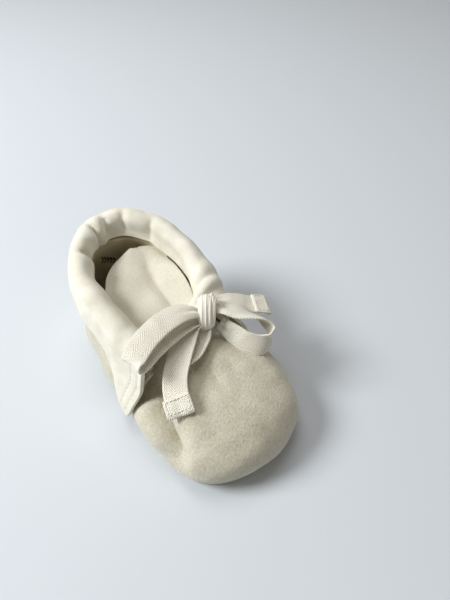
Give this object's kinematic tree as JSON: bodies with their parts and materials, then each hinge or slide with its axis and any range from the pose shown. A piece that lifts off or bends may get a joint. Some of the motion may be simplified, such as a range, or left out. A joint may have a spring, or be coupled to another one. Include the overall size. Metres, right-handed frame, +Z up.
{
  "type": "baby bootie",
  "caption": "Soft fabric baby bootie with a rounded toe, a lifting tongue and a rolled collar closed by a flat drawstring tied in a bow.",
  "frame": {"origin": "on the floor, under the middle of the whole bootie with its bow", "axes": "+Y towards the heel, +Z up; the toe points along -Y and the wearer's right is -X when the toe points away"},
  "size_m": [0.0714, 0.1174, 0.0489],
  "materials": {
    "fleece": "brushed cotton fleece, oatmeal",
    "jersey": "smooth cotton interlock jersey, cream",
    "tape": "herringbone cotton twill tape, natural",
    "thread": "matt sewing thread, natural"
  },
  "bodies": {
    "shoe": {"sole_outer": "fleece", "vamp_outer": "fleece", "heel_outer": "fleece", "sole_lining": "jersey", "vamp_lining": "jersey", "heel_lining": "jersey", "collar_casing": "jersey", "drawstring": "tape", "bow_knot": "tape", "sole_seam_thread": "thread", "left_hem_stitch_front": "thread", "left_hem_stitch_rear": "thread", "right_hem_stitch_front": "thread", "right_hem_stitch_rear": "thread"},
    "tongue": {"tongue_outer": "fleece", "tongue_lining": "jersey"},
    "left_loop": {"left_loop": "tape"},
    "right_loop": {"right_loop": "tape"},
    "left_tail": {"left_tail": "tape", "left_tail_stitch": "thread"},
    "right_tail": {"right_tail": "tape", "right_tail_stitch": "thread"}
  },
  "joints": [
    {"name": "tongue_lift", "type": "hinge", "parent": "shoe", "child": "tongue", "pos_m": [-0.005, -0.00034, 0.03], "axis": [1, 0, 0], "range_deg": [-3, 38]},
    {"name": "left_loop_lift", "type": "hinge", "parent": "shoe", "child": "left_loop", "pos_m": [0.0014, -0.0072, 0.037], "axis": [0, 1, 0], "range_deg": [0, 36]},
    {"name": "right_loop_lift", "type": "hinge", "parent": "shoe", "child": "right_loop", "pos_m": [0.0099, -0.0092, 0.0358], "axis": [-0.6198, -0.7848, 0], "range_deg": [0, 20]},
    {"name": "left_tail_swing", "type": "hinge", "parent": "shoe", "child": "left_tail", "pos_m": [0.0031, -0.0121, 0.0334], "axis": [0, 0.12, 0.9928], "range_deg": [0, 30]},
    {"name": "right_tail_lift", "type": "hinge", "parent": "shoe", "child": "right_tail", "pos_m": [0.0093, -0.0039, 0.0378], "axis": [-0.2, -0.9798, 0], "range_deg": [0, 45]}
  ]
}
